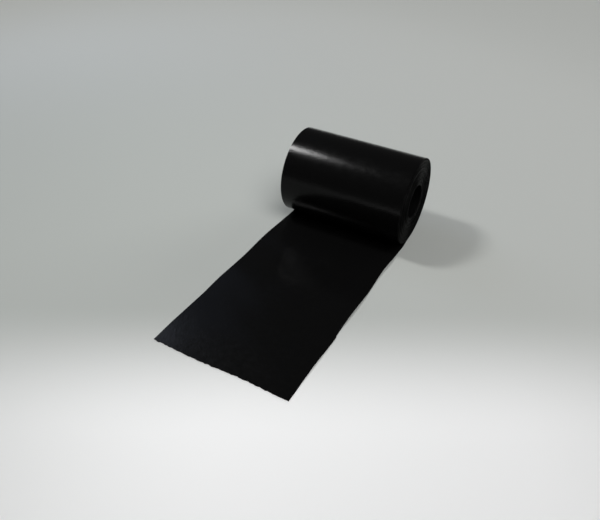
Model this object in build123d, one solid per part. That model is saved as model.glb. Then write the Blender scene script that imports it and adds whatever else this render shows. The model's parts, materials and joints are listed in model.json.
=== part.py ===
from build123d import *
import os
from math import atan, cos, degrees, radians, sin, sqrt

# A roll of polythene damp proof course, lying on a floor with its free end pulled out in front.
# Millimetres. X runs along the roll's axis, the free end points to -Y and +Z is up.
# The origin is on the floor, under the roll's axis and halfway along it.

# Sizes of the strip and of the roll
strip_width = 225.0
strip_gauge = 0.5
roll_diameter = 155.0
bore_diameter = 58.0
free_length = 443.0

# How the turns lie on each other: bands of turns that were wound at one place, each a little to one side
turns_per_band = 4
winding_gap = 0.05
side_wander = 0.8
wander_step_deg = 109.0
slow_wander_step_deg = 40.0

# How the strip lies on the floor: a flat stretch by the roll, then ripples that die away to the cut end
flat_run = 34.0
ripple_count = 3
ripple_height = 3.0

# The cut end: a knife cut made by hand, which wanders to either side of square
cut_wander = 1.0
cut_waves = 1.5
points_per_cut_wave = 8

# How far the roll's weight presses the turn above into the strip below it
bedding = 0.2

roll_radius = roll_diameter / 2
bore_radius = bore_diameter / 2
pack_radius = roll_radius - strip_gauge
roll_axis = Axis((0, 0, roll_radius), (1, 0, 0))
cut_spare = 2 * cut_wander


def band_edges():
    """Radii at which one band of turns ends and the next begins, from the bore outwards.

    The bands are counted in from the outermost, and the innermost takes the turns that are left over.
    """
    band = turns_per_band * (strip_gauge + winding_gap)
    count = round((pack_radius - bore_radius) / band)
    inner = [pack_radius - band * k for k in range(count)]
    return [bore_radius] + sorted(inner)


def band_shift(index):
    """How far a band stands to one side: the winder's quick wander and its slow drift together."""
    quick = sin(radians(wander_step_deg * index))
    slow = sin(radians(slow_wander_step_deg * index))
    return side_wander * (quick + slow) / 2


def wound_pack():
    """All turns but the outermost, turned as one solid, with its bore and its stepped ends."""
    radii = band_edges()
    right_end = []
    left_end = []
    for index, (inner, outer) in enumerate(zip(radii, radii[1:])):
        shift = band_shift(index)
        right_end += [(strip_width / 2 + shift, roll_radius + r) for r in (inner, outer)]
        left_end += [(-strip_width / 2 + shift, roll_radius + r) for r in (inner, outer)]
    outline = Polyline(*right_end, *reversed(left_end), close=True)
    return revolve(Plane.XZ * make_face(outline), roll_axis)


def ripple_lines(start, offset):
    """One face of the rippled strip as tangent arcs, from the flat run to just past the cut.

    offset is the face's distance above the middle of the strip, so both faces share their centres.
    """
    length = (free_length - flat_run) / ripple_count / 2
    lines = []
    place = start
    heading = (-1, 0)
    for index in range(ripple_count):
        height = ripple_height * (ripple_count - index) / ripple_count
        turn = 2 * degrees(atan(height / length))
        middle_radius = length / (2 * sin(radians(turn)))
        for radius, angle in (
            (middle_radius - offset, -turn),
            (middle_radius + offset, 2 * turn),
            (middle_radius - offset, -turn),
        ):
            arc = JernArc(place, heading, radius, angle)
            lines.append(arc)
            place = arc @ 1
            heading = arc % 1
    lines.append(Line(place, place + heading * cut_spare))
    return lines


def knife_waste():
    """What the knife takes off past the free end. Its near side is the wandering line of the cut."""
    reach = strip_width / 2 + cut_spare
    count = round(points_per_cut_wave * cut_waves)
    points = []
    for k in range(count + 1):
        x = -reach + 2 * reach * k / count
        wave = cos(radians(360 * cut_waves * (strip_width / 2 - x) / strip_width))
        points.append((x, -free_length - cut_wander * wave))
    far = -free_length - 2 * cut_spare
    sides = Polyline(points[-1], (reach, far), (-reach, far), points[0])
    return extrude(make_face([Spline(*points), sides]), roll_radius, both=True)


def outer_turn_and_free_end():
    """The outermost turn, from where it lies on the turn below to the cut end on the floor."""
    lap_rise = strip_gauge - bedding
    front_radius = roll_radius - lap_rise / 2
    front_centre = roll_radius + lap_rise / 2
    lap = -sqrt(front_radius**2 - (front_centre - strip_gauge) ** 2)
    underside = ripple_lines((-flat_run, 0), -strip_gauge / 2)
    topside = ripple_lines((-flat_run, strip_gauge), strip_gauge / 2)
    outline = [
        Line((0, 0), (-flat_run, 0)),
        *underside,
        Line(underside[-1] @ 1, topside[-1] @ 1),
        *topside,
        Line((-flat_run, strip_gauge), (lap, strip_gauge)),
        ThreePointArc((lap, strip_gauge), (-front_radius, front_centre), (0, roll_diameter)),
        ThreePointArc((0, roll_diameter), (roll_radius, roll_radius), (0, 0)),
    ]
    filled = extrude(Plane.YZ * make_face(outline), strip_width / 2, both=True)
    inside = Plane.YZ * Pos(0, roll_radius) * Cylinder(pack_radius, 2 * strip_width)
    return filled - inside - knife_waste()


def damp_proof_course():
    """The whole strip: its wound turns, its outermost turn and its free end, in one piece."""
    return wound_pack() + outer_turn_and_free_end()


os.makedirs("parts", exist_ok=True)
export_step(damp_proof_course(), "parts/dpc_strip.step")
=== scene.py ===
"""The looks of a roll of damp proof course: one long strip of black polythene, wound up.

The strip is built as the real one lies: a free end on the floor that runs in under the roll, and
then every turn of the winding, in to the bore. Metres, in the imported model's frame: X runs along the
roll's axis, the free end points to -Y, +Z is up and the origin is on the floor under the roll.
"""

import json
import logging
import math
from dataclasses import dataclass
from enum import IntEnum

import bpy
import numpy as np
from mathutils import Matrix, Vector


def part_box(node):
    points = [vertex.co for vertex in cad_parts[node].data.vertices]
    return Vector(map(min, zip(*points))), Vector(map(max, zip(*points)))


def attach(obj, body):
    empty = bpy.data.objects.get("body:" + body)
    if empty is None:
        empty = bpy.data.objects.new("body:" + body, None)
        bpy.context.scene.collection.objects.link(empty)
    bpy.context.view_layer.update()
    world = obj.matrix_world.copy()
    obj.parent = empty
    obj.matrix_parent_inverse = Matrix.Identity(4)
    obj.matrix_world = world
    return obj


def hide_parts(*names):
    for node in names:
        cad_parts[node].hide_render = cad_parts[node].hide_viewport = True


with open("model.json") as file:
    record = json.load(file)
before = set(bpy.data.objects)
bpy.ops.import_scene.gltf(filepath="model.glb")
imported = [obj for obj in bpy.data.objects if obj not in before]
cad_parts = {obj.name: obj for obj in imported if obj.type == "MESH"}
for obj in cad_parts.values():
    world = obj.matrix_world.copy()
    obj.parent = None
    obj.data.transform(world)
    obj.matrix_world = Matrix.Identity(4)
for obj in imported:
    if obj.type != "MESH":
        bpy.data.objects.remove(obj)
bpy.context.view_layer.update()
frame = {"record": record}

CAD_NODE = "dpc_strip"
BODY = "root"
METRES_MAP = "strip_metres"
MM = 0.001
# Most of a noise texture's values lie between these two.
NOISE_LOW = 0.3
NOISE_HIGH = 0.7
# The colour sockets of a mix node go by place, because other sockets share their names.
FIRST_COLOUR = 6
SECOND_COLOUR = 7
MIXED_COLOUR = 2
log = logging.getLogger("scene")


class Skin(IntEnum):
    """The stretches of the strip's skin, each with a patch of its own on the bake's map."""

    OUTER_FACE = 0
    FREE_TOP = 1
    BORE_WALL = 2
    BETWEEN_TURNS = 3
    RIGHT_END = 4
    LEFT_END = 5
    FREE_SIDES = 6
    CUT_ENDS = 7


SLIT_SKINS = (Skin.RIGHT_END, Skin.LEFT_END, Skin.FREE_SIDES, Skin.CUT_ENDS)


def linear(hex_colour: str) -> tuple[float, float, float, float]:
    """Turns an sRGB hex colour into the linear one that Blender mixes.

    Args:
        hex_colour: The colour as "#RRGGBB".

    Returns:
        Red, green and blue, and 1 for full cover.
    """
    values = (int(hex_colour[k : k + 2], 16) / 255 for k in (1, 3, 5))
    parts = (v / 12.92 if v <= 0.04045 else ((v + 0.055) / 1.055) ** 2.4 for v in values)
    return (*parts, 1.0)


def add_node(
    tree: bpy.types.NodeTree,
    kind: str,
    settings: dict[str, object] | None = None,
    inputs: dict[str | int, object] | None = None,
) -> bpy.types.Node:
    """Adds one node to a tree, with its settings, its values and what feeds it.

    Args:
        tree: The material's or the world's node tree.
        kind: The node's type without its first word, such as "TexNoise".
        settings: Properties of the node, by name.
        inputs: For each input, by name or place, its value or the output that feeds it.

    Returns:
        The new node.
    """
    node = tree.nodes.new("ShaderNode" + kind)
    for name, value in (settings or {}).items():
        setattr(node, name, value)
    for name, value in (inputs or {}).items():
        if isinstance(value, bpy.types.NodeSocket):
            tree.links.new(value, node.inputs[name])
        else:
            node.inputs[name].default_value = value
    return node


def new_material(name: str) -> tuple[bpy.types.Material, bpy.types.NodeTree]:
    """Makes an empty node material.

    Args:
        name: What the real material is.

    Returns:
        The material and its node tree.
    """
    material = bpy.data.materials.new(name)
    material.use_nodes = True
    material.node_tree.nodes.clear()
    return material, material.node_tree


@dataclass(frozen=True)
class Wander:
    """A smooth irregular wave: sines of many lengths and ways, with seeded phases."""

    height: float
    shortest: float
    longest: float
    seed: int
    waves: int = 11
    spread: float = 0.0

    def at(self, along: np.ndarray, across: np.ndarray | float = 0.0) -> np.ndarray:
        """Gives the wave's height.

        Args:
            along: Places along the main way of the waves.
            across: Places square to it.

        Returns:
            The height at each place, with this wave's height as its root mean square.
        """
        rng = np.random.default_rng(self.seed)
        lengths = np.geomspace(self.shortest, self.longest, self.waves)
        ways = rng.uniform(-self.spread, self.spread, self.waves)
        phases = rng.uniform(0, 2 * math.pi, self.waves)
        total = 0.0
        for length, way, phase in zip(lengths, ways, phases):
            place = along * math.cos(way) + across * math.sin(way)
            total = total + np.sin(2 * math.pi * place / length + phase)
        return self.height * total * math.sqrt(2 / self.waves)

    def above(self, along: np.ndarray, across: np.ndarray | float = 0.0) -> np.ndarray:
        """Gives the same wave, lifted so that it never dips below zero.

        Args:
            along: Places along the main way of the waves.
            across: Places square to it.

        Returns:
            The height at each place.
        """
        return self.at(along, across) + self.height * math.sqrt(2 * self.waves)


def ease(value: np.ndarray, start: float, end: float) -> np.ndarray:
    """Rises smoothly from 0 at start to 1 at end.

    Args:
        value: Where to look.
        start: Where the rise begins.
        end: Where it ends, above or below start.

    Returns:
        The share of the rise at each value.
    """
    share = np.clip((value - start) / (end - start), 0.0, 1.0)
    return share * share * (3 - 2 * share)


@dataclass(frozen=True)
class StripSizes:
    """The strip's real sizes, in metres."""

    width: float
    roll_radius: float
    bore_radius: float
    free_length: float
    gauge: float = 0.5 * MM

    @classmethod
    def from_frame(cls, cut_wander: float) -> "StripSizes":
        """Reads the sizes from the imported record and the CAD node's box.

        Args:
            cut_wander: How far the knife's cut reaches past the free end's mean length.

        Returns:
            The sizes.
        """
        bore = next(m for m in frame["record"]["mounts"] if m["kind"] == "bore")
        lowest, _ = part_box(CAD_NODE)
        return cls(
            width=bore["dims"]["length_mm"] * MM,
            roll_radius=bore["pos_m"][2],
            bore_radius=bore["dims"]["r_mm"] * MM,
            free_length=-lowest.y - cut_wander,
        )


@dataclass(frozen=True)
class ExtrudedPolythene:
    """Low-density polythene filled with carbon black, extruded through a slot and wound warm.

    To the eye it is near black, with a soft gloss that a slight orange peel, the roller's shallow
    emboss, a fine grain and the die's lines break up, and a few pale rubs from handling.
    """

    name: str = "low_density_polythene_extruded"
    black: str = "#090909"
    rubbed: str = "#1C1C1C"
    ior: float = 1.51
    specular_level: float = 0.14
    roughness: float = 0.205
    roughness_swing: float = 0.05
    orange_peel: float = 9 * MM
    orange_peel_depth: float = 0.02 * MM
    emboss: float = 2.6 * MM
    emboss_depth: float = 0.12 * MM
    # The real grain is about 0.3 mm. It is drawn coarser, so that it shows.
    grain: float = 0.9 * MM
    grain_depth: float = 0.002 * MM
    die_line: float = 1.6 * MM
    die_line_length: float = 180 * MM
    die_line_depth: float = 0.0015 * MM
    rub: float = 2.5 * MM
    rub_length: float = 22 * MM
    rub_cover: float = 0.68

    def make(self) -> bpy.types.Material:
        """Builds the node material.

        Returns:
            The material.
        """
        material, tree = new_material(self.name)
        place = add_node(tree, "TexCoord").outputs["Object"]
        lie = add_node(tree, "UVMap", {"uv_map": METRES_MAP}).outputs["UV"]
        lines, rubs = (
            add_node(
                tree, "VectorMath", {"operation": "DIVIDE"}, {0: lie, 1: (length, width, 1.0)}
            ).outputs["Vector"]
            for length, width in (
                (self.die_line_length, self.die_line),
                (self.rub_length, self.rub),
            )
        )
        peel, emboss, grain, die, rubbed = (
            add_node(
                tree, "TexNoise", inputs={"Vector": where, "Scale": scale, "Detail": detail}
            ).outputs["Fac"]
            for where, scale, detail in (
                (place, 1 / self.orange_peel, 2.0),
                (place, 1 / self.emboss, 0.0),
                (place, 1 / self.grain, 1.0),
                (lines, 1.0, 3.0),
                (rubs, 1.0, 4.0),
            )
        )
        rub_share = add_node(
            tree,
            "MapRange",
            {"interpolation_type": "SMOOTHSTEP"},
            {"Value": rubbed, "From Min": self.rub_cover, "From Max": 1.0},
        ).outputs["Result"]
        colour = add_node(
            tree,
            "Mix",
            {"data_type": "RGBA"},
            {
                "Factor": rub_share,
                FIRST_COLOUR: linear(self.black),
                SECOND_COLOUR: linear(self.rubbed),
            },
        ).outputs[MIXED_COLOUR]
        gloss = add_node(
            tree,
            "MapRange",
            inputs={
                "Value": peel,
                "From Min": NOISE_LOW,
                "From Max": NOISE_HIGH,
                "To Min": self.roughness - self.roughness_swing / 2,
                "To Max": self.roughness + self.roughness_swing / 2,
            },
        ).outputs["Result"]
        relief = None
        for height, depth in (
            (peel, self.orange_peel_depth),
            (emboss, self.emboss_depth),
            (grain, self.grain_depth),
            (die, self.die_line_depth),
        ):
            below = {} if relief is None else {"Normal": relief}
            relief = add_node(
                tree,
                "Bump",
                inputs={"Height": height, "Distance": depth, "Strength": 1.0, **below},
            ).outputs["Normal"]
        shader = add_node(
            tree,
            "BsdfPrincipled",
            inputs={
                "Base Color": colour,
                "Roughness": gloss,
                "IOR": self.ior,
                "Specular IOR Level": self.specular_level,
                "Normal": relief,
            },
        )
        add_node(tree, "OutputMaterial", inputs={"Surface": shader.outputs["BSDF"]})
        return material


@dataclass(frozen=True)
class SlitPolythene:
    """The same polythene where the slitting knife cut it.

    To the eye the cut is duller than the faces. Its fine drag marks catch the light from turn to
    turn, and some turns hold more dust than others. The same pale colour also paints a highlight
    on the upper half of each end.
    """

    axis_height: float
    name: str = "low_density_polythene_slit_edge"
    # Painted shade: the cut ends get a darker black than the same polythene's faces, so they render as
    # dark as ends that get little light.
    black: str = "#030303"
    # Pale colour for the dust, and for the painted highlight on the upper half of an end.
    dust_and_highlight: str = "#444444"
    ior: float = 1.51
    specular_level: float = 0.006
    roughness: float = 0.36
    roughness_swing: float = 0.12
    dust: float = 9 * MM
    dust_share: float = 0.5
    # Turns that were wound at one tension hold their dust alike, in rings of a few turns.
    ring: float = 2.4 * MM
    ring_share: float = 0.4
    # Painted highlight: the pale colour's share grows with height, so the upper half of an end
    # renders lighter than the lower, standing in for the highlight that the upper half catches.
    painted_highlight_share: float = 0.065
    dust_and_highlight_from: float = 1.07
    dust_and_highlight_full: float = 1.27
    # How far along the strip one mark lasts: half a turn at the outside, and over one by the bore.
    mark_length: float = 240 * MM
    mark_height: float = 0.4 * MM
    # The knife's drag marks are finer than this on the real edge.
    drag: float = 0.7 * MM
    drag_depth: float = 0.01 * MM

    def make(self) -> bpy.types.Material:
        """Builds the node material.

        Returns:
            The material.
        """
        material, tree = new_material(self.name)
        place = add_node(tree, "TexCoord").outputs["Object"]
        lie = add_node(tree, "UVMap", {"uv_map": METRES_MAP}).outputs["UV"]
        marks = add_node(
            tree,
            "VectorMath",
            {"operation": "DIVIDE"},
            {0: lie, 1: (self.mark_length, self.mark_height, 1.0)},
        ).outputs["Vector"]
        mark, dust, drag = (
            add_node(
                tree,
                "TexNoise",
                inputs={"Vector": where, "Scale": scale, "Detail": detail, "Roughness": rough},
            ).outputs["Fac"]
            for where, scale, detail, rough in (
                (marks, 1.0, 3.0, 0.6),
                (place, 1 / self.dust, 5.0, 0.7),
                (place, 1 / self.drag, 2.0, 0.5),
            )
        )
        flattened = add_node(
            tree, "VectorMath", {"operation": "MULTIPLY"}, {0: place, 1: (0.0, 1.0, 1.0)}
        ).outputs["Vector"]
        from_axis = add_node(
            tree,
            "VectorMath",
            {"operation": "DISTANCE"},
            {0: flattened, 1: (0.0, 0.0, self.axis_height)},
        ).outputs["Value"]
        ring = add_node(
            tree,
            "TexNoise",
            {"noise_dimensions": "1D"},
            {"W": from_axis, "Scale": 1 / self.ring, "Detail": 2.0},
        ).outputs["Fac"]
        height = add_node(tree, "SeparateXYZ", inputs={"Vector": place}).outputs["Z"]
        dust_and_highlight_amount = mark
        for layer, share in (
            (dust, self.dust_share),
            (ring, self.ring_share),
            # The last layer is the painted highlight: more of the pale colour higher up the end.
            (height, self.painted_highlight_share / self.axis_height),
        ):
            dust_and_highlight_amount = add_node(
                tree, "Math", {"operation": "MULTIPLY_ADD"}, {0: layer, 1: share, 2: dust_and_highlight_amount}
            ).outputs["Value"]
        # Share of the pale colour: dust, plus the painted highlight higher up the end.
        dust_and_highlight = add_node(
            tree,
            "MapRange",
            {"interpolation_type": "SMOOTHSTEP"},
            {"Value": dust_and_highlight_amount, "From Min": self.dust_and_highlight_from, "From Max": self.dust_and_highlight_full},
        ).outputs["Result"]
        colour = add_node(
            tree,
            "Mix",
            {"data_type": "RGBA"},
            {
                "Factor": dust_and_highlight,
                FIRST_COLOUR: linear(self.black),
                SECOND_COLOUR: linear(self.dust_and_highlight),
            },
        ).outputs[MIXED_COLOUR]
        gloss = add_node(
            tree,
            "MapRange",
            inputs={
                "Value": mark,
                "From Min": NOISE_LOW,
                "From Max": NOISE_HIGH,
                "To Min": self.roughness - self.roughness_swing / 2,
                "To Max": self.roughness + self.roughness_swing / 2,
            },
        ).outputs["Result"]
        relief = add_node(
            tree,
            "Bump",
            inputs={"Height": drag, "Distance": self.drag_depth, "Strength": 1.0},
        ).outputs["Normal"]
        shader = add_node(
            tree,
            "BsdfPrincipled",
            inputs={
                "Base Color": colour,
                "Roughness": gloss,
                "IOR": self.ior,
                "Specular IOR Level": self.specular_level,
                "Normal": relief,
            },
        )
        add_node(tree, "OutputMaterial", inputs={"Surface": shader.outputs["BSDF"]})
        return material


@dataclass(frozen=True)
class Winding:
    """The turns of the roll, counted inwards from where the free end meets the floor."""

    sizes: StripSizes
    turns: float = 87.35
    # How uneven the air between the turns is, from 1 for what chance alone gives.
    air_unevenness: float = 1.5
    air_seed: int = 5
    band: float = 4.0
    side_wander: float = 0.8 * MM
    quick_step: float = math.radians(109)
    slow_step: float = math.radians(40)
    # The outermost turn keeps to the free end's place, and the shift sets in over the next two.
    shifts_over: tuple[float, float] = (1.0, 3.0)
    # A turn stands out from its neighbours a little, so its length is measured in turns.
    jitter: Wander = Wander(height=0.12 * MM, shortest=0.7, longest=6.0, seed=11)
    # The outermost turn has gone a little slack since the free end was pulled out.
    slack: Wander = Wander(
        height=0.045 * MM,
        shortest=28 * MM,
        longest=110 * MM,
        seed=8,
        waves=7,
        spread=math.pi / 2,
    )
    # The slack sets in over the first two of these turns, and goes again over the other two.
    slack_from: tuple[float, float] = (0.03, 0.12)
    slack_to: tuple[float, float] = (0.97, 0.88)

    def radius(self, turn: np.ndarray) -> np.ndarray:
        """Gives the radius of the strip's outer face.

        The air between turns is uneven: most lie tight, and a few leave a dark gap.

        Args:
            turn: How many turns in.

        Returns:
            The radius at each of them.
        """
        count = math.ceil(self.turns)
        air = np.random.default_rng(self.air_seed).exponential(1.0, count)
        air = air**self.air_unevenness
        last = self.turns - (count - 1)
        whole = np.append(np.ones(count - 1), last)
        depth = self.sizes.roll_radius - self.sizes.gauge - self.sizes.bore_radius
        free_air = depth - self.turns * self.sizes.gauge
        steps = self.sizes.gauge + air * free_air / (air * whole).sum()
        starts = self.sizes.roll_radius - np.append(0.0, np.cumsum(steps))
        return np.interp(turn, np.arange(count + 1), starts)

    def shift(self, turn: np.ndarray) -> np.ndarray:
        """Gives how far the strip stands to the right of the roll's middle.

        Args:
            turn: How many turns in.

        Returns:
            The shift at each of them: that of the CAD model's bands, and a small one of its own.
        """
        band = (self.turns - turn) / self.band
        slow_and_quick = np.sin(self.quick_step * band) + np.sin(self.slow_step * band)
        shift = self.side_wander * slow_and_quick / 2 + self.jitter.at(turn)
        return shift * ease(turn, *self.shifts_over)

    def place(self, turn: np.ndarray, across: np.ndarray, through: np.ndarray) -> np.ndarray:
        """Finds points of the wound strip.

        Args:
            turn: How many turns in.
            across: Places across the strip.
            through: Depths in from the outer face.

        Returns:
            The points, with X, Y and Z last.
        """
        angle = 2 * math.pi * turn
        loose = ease(turn, *self.slack_from) * ease(turn, *self.slack_to)
        slack = loose * self.slack.above(self.sizes.roll_radius * angle, across)
        radius = self.radius(turn) - through + slack
        y = radius * np.sin(angle)
        z = self.sizes.roll_radius - radius * np.cos(angle)
        return np.stack([across + self.shift(turn), y, z], axis=-1)


@dataclass(frozen=True)
class FreeEnd:
    """The stretch of strip on the floor, from the knife's cut to under the roll."""

    sizes: StripSizes
    flat_run: float = 34 * MM
    ripples: int = 3
    ripple_height: float = 3 * MM
    # The ripples stand higher at the right-hand edge, and their crests run a little askew.
    height_left: float = 0.75
    height_right: float = 1.1
    skew: float = 9 * MM
    cut_wander: float = 1 * MM
    cut_waves: float = 1.5
    cut_reach: float = 30 * MM
    ragged: Wander = Wander(height=0.4 * MM, shortest=6 * MM, longest=24 * MM, seed=7326)
    slack: Wander = Wander(
        height=0.1 * MM,
        shortest=50 * MM,
        longest=190 * MM,
        seed=23,
        waves=7,
        spread=math.pi / 2,
    )
    edge: Wander = Wander(height=0.1 * MM, shortest=60 * MM, longest=240 * MM, seed=31)
    # The free end stands to the right at first and then snakes to either side, less and less, with
    # its right-hand edge ahead of its left. It also drifts a little to the right.
    drift: float = 0.5 * MM
    sway: float = 1.5 * MM
    sway_length: float = 132 * MM
    sway_starts: float = 76 * MM
    sway_skew: float = 24 * MM
    # The right-hand edge steps out where the slitting knife slipped, and then comes back.
    slip_place: float = 300 * MM
    slip_out: float = 0.9 * MM
    slip_length: float = 3 * MM
    slip_fades: float = 70 * MM
    # How far in from the edge the slip moves the strip, and how many rings show it.
    slip_depth: float = 2 * MM
    slip_rings: int = 13

    def height(self, x: np.ndarray, y: np.ndarray) -> np.ndarray:
        """Gives the height of the underside over the floor.

        Args:
            x: Places along the roll's axis.
            y: Places along the strip, with the cut end furthest to the negative.

        Returns:
            The height at each place.
        """
        run = self.sizes.free_length - self.flat_run
        across = x / self.sizes.width
        place = np.clip((-y - self.flat_run + self.skew * across) / run, 0.0, 1.0)
        phase = place * self.ripples
        crest = self.ripple_height * (self.ripples - np.floor(phase)) / self.ripples
        tilt = self.height_left + (self.height_right - self.height_left) * (across + 0.5)
        ripple = crest * tilt * (1 - np.cos(2 * math.pi * phase)) / 2
        slack = self.slack.above(y, x) * ease(-y, self.flat_run, 2 * self.flat_run)
        return np.where(place < 1, ripple, 0.0) + slack

    def cut(self, x: np.ndarray) -> np.ndarray:
        """Gives how far the knife's cut lies past the free end's mean length.

        Args:
            x: Places along the cut.

        Returns:
            The distance at each place, to the negative where the cut falls short.
        """
        turns = self.cut_waves * (self.sizes.width / 2 - x) / self.sizes.width
        return self.cut_wander * np.cos(2 * math.pi * turns) + self.ragged.at(x)

    def aside(self, run: np.ndarray, across: np.ndarray) -> np.ndarray:
        """Gives how far the strip lies to the right of its place in the roll.

        Args:
            run: Distances from under the roll's axis.
            across: Places across the strip.

        Returns:
            The distance at each place, to the negative where it lies to the left.
        """
        share = run / self.sizes.free_length
        past = run - self.sway_starts + self.sway_skew * across / self.sizes.width
        wave = np.cos(2 * math.pi * np.maximum(past, 0.0) / self.sway_length)
        snaking = self.drift * share + self.sway * (1 - share) * wave + self.edge.at(run)
        return snaking * ease(run, 0.0, self.flat_run)

    def slip(self, run: np.ndarray) -> np.ndarray:
        """Gives how far the right-hand edge stands out where the slitting knife slipped.

        Args:
            run: Distances from under the roll's axis.

        Returns:
            The distance at each place.
        """
        out = self.slip_place + self.slip_length
        return (
            self.slip_out
            * ease(run, self.slip_place, out)
            * ease(run, out + self.slip_fades, out)
        )

    def slip_stations(self) -> np.ndarray:
        """Gives the shares of the free end, below 0, where rings are needed to show the slip."""
        places = np.linspace(-1.0, 2.0, self.slip_rings) * self.slip_length + self.slip_place
        return -places / self.sizes.free_length

    def place(self, run: np.ndarray, across: np.ndarray, through: np.ndarray) -> np.ndarray:
        """Finds points of the free end.

        Args:
            run: Distances from under the roll's axis, before the cut is made.
            across: Places across the strip.
            through: Depths in from the underside.

        Returns:
            The points, with X, Y and Z last.
        """
        end = self.sizes.free_length
        y = -run - self.cut(across) * ease(run, end - self.cut_reach, end)
        right_edge = across > self.sizes.width / 2 - self.slip_depth
        x = across + self.aside(run, across) + self.slip(run) * right_edge
        return np.stack([x, y, self.height(across, y) + through], axis=-1)


@dataclass(frozen=True)
class SkinPoints:
    """The skin's vertices, and where each of them lies on the strip."""

    place: np.ndarray
    along: np.ndarray
    across: np.ndarray
    through: np.ndarray

    @classmethod
    def joined(cls, parts: tuple["SkinPoints", ...]) -> "SkinPoints":
        """Joins sets of rings into one list of vertices.

        Args:
            parts: The sets, with their vertices ring by ring.

        Returns:
            All their vertices, in order.
        """
        return cls(
            place=np.concatenate([part.place.reshape(-1, 3) for part in parts]),
            along=np.concatenate([part.along.ravel() for part in parts]),
            across=np.concatenate([part.across.ravel() for part in parts]),
            through=np.concatenate([part.through.ravel() for part in parts]),
        )


@dataclass(frozen=True)
class BakeMap:
    """Where each stretch of skin lies on the map that an export bakes through.

    The faces that show fill nearly all of it, and those between the turns get a narrow band.
    """

    sizes: StripSizes
    name: str = "OFBake"
    side: float = 960 * MM
    gap: float = 0.006
    end_scale: float = 2.0
    edge_scale: float = 4.0
    hidden_band: float = 0.08
    # In that band the turns' outer faces lie below and their inner faces above.
    hidden_face: float = 0.45
    hidden_inner_from: float = 0.55

    def uv(self, skin: Skin, points: SkinPoints) -> np.ndarray:
        """Places every vertex as if it lay on one stretch of the skin.

        Args:
            skin: The stretch.
            points: The vertices.

        Returns:
            A place on the map for each vertex.
        """
        half = self.sizes.width / 2
        width = self.sizes.width / self.side
        disc = 2 * self.sizes.roll_radius * self.end_scale / self.side
        edge = self.edge_scale * self.sizes.gauge / self.side
        free = self.sizes.free_length / self.side
        top_row = self.gap + width + self.gap
        disc_row = top_row + width + self.gap
        edge_row = disc_row + disc + self.gap
        hidden_row = edge_row + 2 * edge + 2 * self.gap
        end = points.along.max()
        depth = points.through / self.sizes.gauge * edge
        if skin is Skin.OUTER_FACE:
            u = self.gap + points.along / self.side
            v = self.gap + (points.across + half) / self.side
        elif skin is Skin.FREE_TOP:
            u = self.gap + points.along / self.side
            v = top_row + (half - points.across) / self.side
        elif skin is Skin.BORE_WALL:
            u = 1 - self.gap - (end - points.along) / self.side
            v = top_row + (half - points.across) / self.side
        elif skin in (Skin.RIGHT_END, Skin.LEFT_END):
            way = 1 if skin is Skin.RIGHT_END else -1
            step = disc / 2 if skin is Skin.RIGHT_END else 3 * disc / 2 + self.gap
            u = self.gap + step + way * points.place[:, 1] * self.end_scale / self.side
            v = disc_row + points.place[:, 2] * self.end_scale / self.side
        elif skin is Skin.FREE_SIDES:
            u = self.gap + points.along / self.side
            v = edge_row + depth + np.where(points.across > 0, 0.0, edge + self.gap)
        elif skin is Skin.CUT_ENDS:
            u = free + 2 * self.gap + (points.across + half) / self.side
            v = edge_row + depth + np.where(points.along < end / 2, 0.0, edge + self.gap)
        else:
            inner = points.through > self.sizes.gauge / 2
            u = self.gap + points.along / end * (1 - 2 * self.gap)
            share = self.hidden_face * (points.across / self.sizes.width + 0.5)
            share = share + np.where(inner, self.hidden_inner_from, 0.0)
            v = hidden_row + share * self.hidden_band
        return np.stack([u, v], axis=-1)


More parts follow.
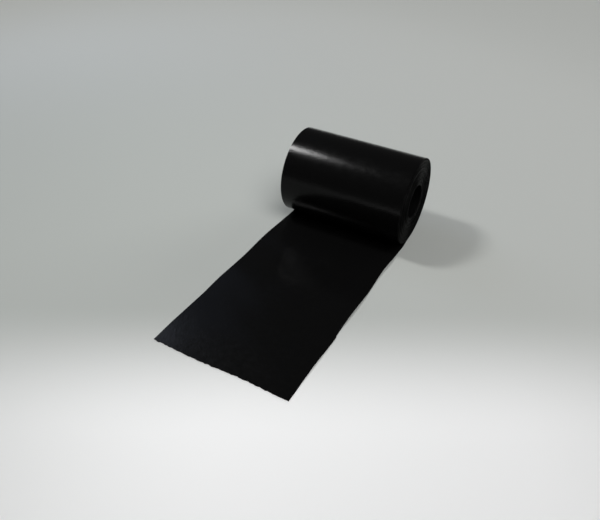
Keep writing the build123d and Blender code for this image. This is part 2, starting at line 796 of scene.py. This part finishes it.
@dataclass(frozen=True)
class StripMesh:
    """The strip's skin, as rings round its section from the knife's cut to the inner end.

    Each ring runs from left to right on the outer face, over the right edge, back on the inner face
    and over the left edge. The free end and the outermost turn, which show, have many columns, and
    the turns inside have only the corners of the section.
    """

    sizes: StripSizes
    winding: Winding
    free_end: FreeEnd
    columns: int = 75
    free_stations: int = 140
    outer_stations: int = 150
    turn_stations: int = 96
    length_steps: int = 4000
    # The slitting knife leaves the edge a little crowned over the strip's gauge.
    crown: float = 0.1 * MM
    sharp: float = math.radians(50)

    def _ring(self, columns: int) -> tuple[np.ndarray, np.ndarray]:
        """Lays out one ring.

        Args:
            columns: How many vertices each face has.

        Returns:
            For each vertex, its place across the strip and its depth in from the outer face.
        """
        half = self.sizes.width / 2
        face = np.linspace(-half + self.crown, half - self.crown, columns)
        across = np.concatenate([face, [half], face[::-1], [-half]])
        gauge = self.sizes.gauge
        depths = np.repeat([0.0, gauge / 2, gauge, gauge / 2], [columns, 1, columns, 1])
        return across, depths

    def _place(self, turn: np.ndarray, across: np.ndarray, through: np.ndarray) -> np.ndarray:
        """Finds points of the strip.

        Args:
            turn: The winding's turn, or below 0 the share of the free end from the roll to the cut.
            across: Places across the strip.
            through: Depths in from the outer face.

        Returns:
            The points, with X, Y and Z last.
        """
        free = self.free_end.place(-turn * self.sizes.free_length, across, through)
        wound = self.winding.place(np.maximum(turn, 0.0), across, through)
        return np.where((turn < 0)[..., None], free, wound)

    def _rings(self, turns: np.ndarray, columns: int) -> SkinPoints:
        """Makes rings at some turns, all with the same columns.

        Args:
            turns: Where the rings are.
            columns: How many vertices each face has.

        Returns:
            The rings' vertices, ring by ring.
        """
        across, through = self._ring(columns)
        turn, across = np.broadcast_arrays(turns[:, None], across[None, :])
        through = np.broadcast_to(through, turn.shape)
        place = self._place(turn, across, through)
        return SkinPoints(place, self._length(turn), across, through)

    def _length(self, turn: np.ndarray) -> np.ndarray:
        """Measures along the strip from the mean place of the cut.

        Args:
            turn: The winding's turn, or below 0 the share of the free end from the roll to the cut.

        Returns:
            The length of strip up to each place.
        """
        free = self.sizes.free_length * (1 + np.minimum(turn, 0.0))
        fine = np.linspace(0.0, self.winding.turns, self.length_steps)
        steps = 2 * math.pi * self.winding.radius(fine) * fine[1]
        wound = np.interp(np.maximum(turn, 0.0), fine, np.append(0.0, np.cumsum(steps[1:])))
        return free + wound

    def _skins(self, turns: np.ndarray, columns: int) -> np.ndarray:
        """Says which stretch of the skin each face between two rings belongs to.

        Args:
            turns: The rings' turns.
            columns: How many vertices each face of the strip has in a ring.

        Returns:
            One skin number for each pair of rings and each place in the ring.
        """
        middle = (turns[1:] + turns[:-1])[:, None] / 2
        free = middle < 0
        last = middle > self.winding.turns - 1
        outer = np.where(middle < 1, Skin.OUTER_FACE, Skin.BETWEEN_TURNS)
        hidden_inner = np.where(last, Skin.BORE_WALL, Skin.BETWEEN_TURNS)
        inner = np.where(free, Skin.FREE_TOP, hidden_inner)
        right = np.where(free, Skin.FREE_SIDES, Skin.RIGHT_END)
        left = np.where(free, Skin.FREE_SIDES, Skin.LEFT_END)
        parts = zip((outer, right, inner, left), (columns - 1, 2, columns - 1, 2))
        return np.concatenate([np.repeat(part, count, axis=1) for part, count in parts], axis=1)

    @staticmethod
    def _walls(first: np.ndarray, second: np.ndarray) -> np.ndarray:
        """Joins rings of equal size.

        Args:
            first: Vertex numbers of the rings nearer to the cut.
            second: Vertex numbers of the next rings.

        Returns:
            The four corners of each face, with the rings' places before them.
        """
        beyond = np.roll(first, -1, axis=-1), np.roll(second, -1, axis=-1)
        return np.stack([first, second, beyond[1], beyond[0]], axis=-1)

    @staticmethod
    def _fan(row: np.ndarray, start: int, end: int) -> list[tuple[int, int, int]]:
        """Joins a row of many vertices to the two corners of the next ring.

        Args:
            row: The row's vertex numbers.
            start: The corner beside the row's first vertex.
            end: The corner beside its last.

        Returns:
            The triangles.
        """
        half = len(row) // 2
        near = [(a, start, b) for a, b in zip(row[:half], row[1:])]
        far = [(a, end, b) for a, b in zip(row[half:], row[half + 1 :])]
        return [*near, (row[half], start, end), *far]

    def _cap(self, ring: np.ndarray) -> tuple[np.ndarray, list[tuple[int, int, int]]]:
        """Closes the strip's end across its gauge.

        Args:
            ring: The end ring's vertex numbers, turned so that the cap faces outwards.

        Returns:
            The faces between the columns, and the two at the crowned edges.
        """
        columns = len(ring) // 2 - 1
        outer = ring[:columns]
        inner = ring[columns + 1 : -1][::-1]
        quads = np.stack([outer[:-1], outer[1:], inner[1:], inner[:-1]], axis=-1)
        tips = [(outer[-1], ring[columns], inner[-1]), (inner[0], ring[-1], outer[0])]
        return quads, tips

    def _turns(self) -> tuple[np.ndarray, np.ndarray]:
        """Chooses where the rings are.

        Returns:
            The turns of the rings with many columns, and those of the rings with only corners.
        """
        free = np.linspace(-1.0, 0.0, self.free_stations, endpoint=False)
        free = np.union1d(free, self.free_end.slip_stations())
        dense = np.concatenate([free, np.linspace(0.0, 1.0, self.outer_stations)])
        count = math.floor((self.winding.turns - 1) * self.turn_stations)
        sparse = 1 + np.arange(1, count + 1) / self.turn_stations
        return dense, np.append(sparse, self.winding.turns)

    def _step(
        self, last: np.ndarray, corners: np.ndarray
    ) -> tuple[np.ndarray, list[tuple[int, int, int]]]:
        """Joins the last ring with many columns to the first with only corners.

        Args:
            last: The vertex numbers of the ring with many columns.
            corners: Those of the ring with only corners.

        Returns:
            The two faces at the right edge and the two at the left, and the triangles between them.
        """
        # A ring of corners has the outer face's two, the right edge's one, the inner face's two and
        # the left edge's one. Triangles take the place of its walls on the outer and inner faces.
        middle = self.columns
        own_corners = last[[0, middle - 1, middle, middle + 1, -2, -1]]
        outer = self._fan(last[:middle], *corners[:2])
        inner = self._fan(last[middle + 1 : -1], *corners[3:5])
        return self._walls(own_corners, corners)[[1, 2, 4, 5]], outer + inner

    def build(self, name: str) -> bpy.types.Mesh:
        """Makes the mesh, with its two maps and its two material slots' faces.

        Args:
            name: The mesh's name.

        Returns:
            The mesh.
        """
        dense, sparse = self._turns()
        many = self._rings(dense, self.columns)
        few = self._rings(sparse, 2)
        points = SkinPoints.joined((many, few))
        first = np.arange(many.along.size).reshape(many.along.shape)
        second = first.size + np.arange(few.along.size).reshape(few.along.shape)
        edges, fans = self._step(first[-1], second[0])
        start_quads, start_tips = self._cap(first[0])
        end_quads, end_tips = self._cap(np.roll(second[-1][::-1], -1))
        quads = [
            (self._walls(first[:-1], first[1:]), self._skins(dense, self.columns)),
            (self._walls(second[:-1], second[1:]), self._skins(sparse, 2)),
            (edges, np.repeat([Skin.RIGHT_END, Skin.LEFT_END], 2)),
            (start_quads, np.full(len(start_quads), Skin.CUT_ENDS)),
            (end_quads, np.full(len(end_quads), Skin.CUT_ENDS)),
        ]
        tips = start_tips + end_tips
        square = np.concatenate([corners.reshape(-1, 4) for corners, _ in quads])
        triangles = np.array(fans + tips)
        skins = np.concatenate(
            [
                *(skin.ravel() for _, skin in quads),
                np.full(len(fans), Skin.BETWEEN_TURNS),
                np.full(len(tips), Skin.CUT_ENDS),
            ]
        )
        mesh = bpy.data.meshes.new(name)
        mesh.from_pydata(points.place.tolist(), [], square.tolist() + triangles.tolist())
        mesh.polygons.foreach_set("material_index", np.isin(skins, SLIT_SKINS).astype(np.int32))
        mesh.shade_smooth()
        mesh.set_sharp_from_angle(angle=self.sharp)
        vertices = np.concatenate([square.ravel(), triangles.ravel()])
        sizes = np.repeat([4, 3], [len(square), len(triangles)])
        self._add_maps(mesh, points, vertices, np.repeat(skins, sizes))
        return mesh

    def _add_maps(
        self, mesh: bpy.types.Mesh, points: SkinPoints, vertices: np.ndarray, skins: np.ndarray
    ) -> None:
        """Adds the map that the bake uses and the one in metres along and across the strip.

        Args:
            mesh: The mesh.
            points: Its vertices.
            vertices: The vertex number of each face's corners, in the mesh's order.
            skins: The skin of each of those corners.
        """
        bake = BakeMap(self.sizes)
        places = np.stack([bake.uv(skin, points) for skin in Skin])
        metres = np.stack([points.along, points.across], axis=-1)
        for name, uv in ((bake.name, places[skins, vertices]), (METRES_MAP, metres[vertices])):
            layer = mesh.uv_layers.new(name=name)
            layer.uv.foreach_set("vector", uv.astype(np.float32).ravel())


@dataclass(frozen=True)
class DampProofCourse:
    """The whole strip: its free end, its turns and the finishes of its faces and slit edges."""

    sizes: StripSizes
    free_end: FreeEnd
    faces: ExtrudedPolythene = ExtrudedPolythene()
    name: str = "damp_proof_course_strip"

    def build(self) -> bpy.types.Object:
        """Makes the strip, dresses it and puts it in the CAD node's place.

        Returns:
            The strip.
        """
        mesh = StripMesh(self.sizes, Winding(self.sizes), self.free_end).build(self.name)
        mesh.materials.append(self.faces.make())
        mesh.materials.append(SlitPolythene(self.sizes.roll_radius).make())
        strip = bpy.data.objects.new(self.name, mesh)
        bpy.context.scene.collection.objects.link(strip)
        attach(strip, BODY)
        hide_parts(CAD_NODE)
        return strip


@dataclass(frozen=True)
class MattFloor:
    """A smooth matt studio floor.

    It has a painted pool of light, a pale patch in front, and painted shade that makes it a
    little darker under the key lamp, where more light falls. It fades into the room far off.
    """

    name: str = "studio_floor_matt_paint"
    # Painted shade under the key lamp, which evens out the pool of light that the lamp throws there.
    painted_shade_under_key: str = "#9DA09C"
    plain: str = "#C8CAC6"
    # Painted pool of light: a pale patch on the floor in front of the roll.
    patch: str = "#F4F4F3"
    far_off: str = "#6C6D6C"
    key_foot: tuple[float, float] = (-0.505, -0.206)
    key_reach: float = 1.5
    # The painted pool of light's two ways, and where it begins and ends along each.
    patch_forward: tuple[float, float] = (0.50, -0.866)
    patch_from: float = 0.25
    patch_full: float = 0.5
    patch_until: float = 0.7
    patch_gone: float = 1.5
    patch_side: tuple[float, float] = (0.866, 0.50)
    patch_left: tuple[float, float] = (-0.96, -0.16)
    patch_right: tuple[float, float] = (0.8, 0.14)
    middle: tuple[float, float] = (-0.68, 1.34)
    fades_from: float = 2.2
    faded_at: float = 4.5
    half_side: float = 60.0
    below: float = 0.05 * MM

    def make(self) -> bpy.types.Material:
        """Builds the node material.

        Returns:
            The material.
        """
        material, tree = new_material(self.name)
        place = add_node(tree, "TexCoord").outputs["Object"]
        from_key, from_middle, forward, sideways = (
            add_node(
                tree, "VectorMath", {"operation": operation}, {0: place, 1: (*second, 0.0)}
            ).outputs["Value"]
            for operation, second in (
                ("DISTANCE", self.key_foot),
                ("DISTANCE", self.middle),
                ("DOT_PRODUCT", self.patch_forward),
                ("DOT_PRODUCT", self.patch_side),
            )
        )
        near_key, far, in_light_pool, before_end, past_left, before_right = (
            add_node(
                tree,
                "MapRange",
                {"interpolation_type": "SMOOTHSTEP"},
                {"Value": value, "From Min": start, "From Max": end},
            ).outputs["Result"]
            for value, start, end in (
                (from_key, 0.0, self.key_reach),
                (from_middle, self.fades_from, self.faded_at),
                (forward, self.patch_from, self.patch_full),
                (forward, self.patch_gone, self.patch_until),
                (sideways, *self.patch_left),
                (sideways, *self.patch_right),
            )
        )
        for share in (before_end, past_left, before_right):
            in_light_pool = add_node(
                tree, "Math", {"operation": "MULTIPLY"}, {0: in_light_pool, 1: share}
            ).outputs["Value"]
        colour = linear(self.painted_shade_under_key)
        for share, paint in ((near_key, self.plain), (in_light_pool, self.patch), (far, self.far_off)):
            colour = add_node(
                tree,
                "Mix",
                {"data_type": "RGBA"},
                {"Factor": share, FIRST_COLOUR: colour, SECOND_COLOUR: linear(paint)},
            ).outputs[MIXED_COLOUR]
        shader = add_node(
            tree,
            "BsdfPrincipled",
            inputs={"Base Color": colour, "Roughness": 1.0, "Specular IOR Level": 0.0},
        )
        add_node(tree, "OutputMaterial", inputs={"Surface": shader.outputs["BSDF"]})
        return material

    def build(self) -> bpy.types.Object:
        """Lays the floor.

        Returns:
            The floor.
        """
        side = self.half_side
        corners = [(-side, -side), (side, -side), (side, side), (-side, side)]
        mesh = bpy.data.meshes.new("studio_floor")
        mesh.from_pydata([(x, y, -self.below) for x, y in corners], [], [(0, 1, 2, 3)])
        mesh.materials.append(self.make())
        floor = bpy.data.objects.new("studio_floor", mesh)
        bpy.context.scene.collection.objects.link(floor)
        return floor


@dataclass(frozen=True)
class Softbox:
    """A square studio lamp that faces the roll."""

    name: str
    place: tuple[float, float, float]
    side: float
    # What a surface facing the lamp gets at the aim, where pi in all renders white as white.
    light: float
    colour: str = "#FFFFFF"
    aim: tuple[float, float, float] = (0.0, 0.0, 0.08)

    def build(self) -> bpy.types.Object:
        """Hangs the lamp.

        Returns:
            The lamp.
        """
        lamp = bpy.data.lights.new(self.name, "AREA")
        lamp.shape = "SQUARE"
        lamp.size = self.side
        lamp.color = linear(self.colour)[:3]
        throw = Vector(self.aim) - Vector(self.place)
        lamp.energy = math.pi * self.light * throw.length_squared
        holder = bpy.data.objects.new(self.name, lamp)
        holder.matrix_world = Matrix.LocRotScale(
            Vector(self.place), throw.to_track_quat("-Z", "Y"), None
        )
        bpy.context.scene.collection.objects.link(holder)
        return holder


@dataclass(frozen=True)
class FarSoftLight:
    """A wide, even light from far off, such as a bounced one."""

    name: str
    way: tuple[float, float, float]
    spread: float
    light: float

    def build(self) -> bpy.types.Object:
        """Adds the light.

        Returns:
            The light.
        """
        lamp = bpy.data.lights.new(self.name, "SUN")
        lamp.angle = self.spread
        lamp.energy = self.light
        holder = bpy.data.objects.new(self.name, lamp)
        holder.rotation_mode = "QUATERNION"
        holder.rotation_quaternion = Vector(self.way).to_track_quat("Z", "Y")
        bpy.context.scene.collection.objects.link(holder)
        return holder


@dataclass(frozen=True)
class StudioRoom:
    """The room round the set: paler low down, and dim above, so that it barely shows in the gloss."""

    low: str = "#585959"
    dim: str = "#3A3A3A"
    low_up_to: float = 0.02
    dim_from: float = 0.24

    def build(self) -> bpy.types.World:
        """Builds the world.

        Returns:
            The world.
        """
        world = bpy.data.worlds.new("studio_room")
        world.use_nodes = True
        tree = world.node_tree
        tree.nodes.clear()
        way = add_node(tree, "TexCoord").outputs["Generated"]
        rise = add_node(tree, "SeparateXYZ", inputs={"Vector": way}).outputs["Z"]
        share = add_node(
            tree,
            "MapRange",
            {"interpolation_type": "SMOOTHSTEP"},
            {"Value": rise, "From Min": self.low_up_to, "From Max": self.dim_from},
        ).outputs["Result"]
        colour = add_node(
            tree,
            "Mix",
            {"data_type": "RGBA"},
            {"Factor": share, FIRST_COLOUR: linear(self.low), SECOND_COLOUR: linear(self.dim)},
        ).outputs[MIXED_COLOUR]
        light = add_node(tree, "Background", inputs={"Color": colour})
        add_node(tree, "OutputWorld", inputs={"Surface": light.outputs["Background"]})
        bpy.context.scene.world = world
        return world


@dataclass(frozen=True)
class PhotoCamera:
    """The camera, standing where it stood for the photograph."""

    lens_mm: float = 37.80
    sensor_mm: float = 36.0
    azimuth: float = math.radians(26.989)
    elevation: float = math.radians(36.388)
    roll: float = math.radians(2.708)
    distance: float = 1.1852
    aside: float = 0.0982
    lift: float = 0.0745

    def build(self) -> bpy.types.Object:
        """Sets the camera up.

        Returns:
            The camera.
        """
        lens = bpy.data.cameras.new("photo_camera")
        lens.sensor_fit = "HORIZONTAL"
        lens.sensor_width = self.sensor_mm
        lens.lens = self.lens_mm
        turn = (
            Matrix.Rotation(self.azimuth, 4, "Z")
            @ Matrix.Rotation(math.pi / 2 - self.elevation, 4, "X")
            @ Matrix.Rotation(self.roll, 4, "Z")
        )
        camera = bpy.data.objects.new("photo_camera", lens)
        camera.matrix_world = turn @ Matrix.Translation((-self.aside, -self.lift, self.distance))
        bpy.context.scene.collection.objects.link(camera)
        bpy.context.scene.camera = camera
        return camera


@dataclass(frozen=True)
class Studio:
    """The set: floor, room, lamps and camera."""

    floor: MattFloor = MattFloor()
    room: StudioRoom = StudioRoom()
    camera: PhotoCamera = PhotoCamera()
    lamps: tuple[Softbox | FarSoftLight, ...] = (
        Softbox("key_front_left", place=(-0.505, -0.206, 0.91), side=0.16, light=1.6),
        Softbox("window_left", place=(-1.23, 0.25, 0.91), side=0.7, light=0.45, colour="#D2DBF2"),
        Softbox("window_beside", place=(-1.0, 0.53, 0.91), side=0.62, light=0.05, colour="#BFD0F5"),
        FarSoftLight("bounce_above", way=(0.4, -0.3, 0.87), spread=math.radians(40), light=1.85),
        FarSoftLight("bounce_back", way=(0.4, 0.88, 0.25), spread=math.radians(30), light=1.2),
    )

    def build(self) -> None:
        """Sets everything up and lets colours through unchanged."""
        self.floor.build()
        self.room.build()
        for lamp in self.lamps:
            lamp.build()
        self.camera.build()
        bpy.context.scene.view_settings.view_transform = "Standard"


def main() -> None:
    """Builds the studio and the strip, and reports them."""
    logging.basicConfig(level=logging.INFO, format="%(name)s: %(message)s")
    studio = Studio()
    studio.build()
    log.info("studio: floor, room, camera and %d lamps", len(studio.lamps))
    sizes = StripSizes.from_frame(cut_wander=FreeEnd.cut_wander)
    strip = DampProofCourse(sizes, FreeEnd(sizes)).build()
    mesh = strip.data
    log.info("%s: %d vertices, %d faces", strip.name, len(mesh.vertices), len(mesh.polygons))


if __name__ == "__main__":
    main()
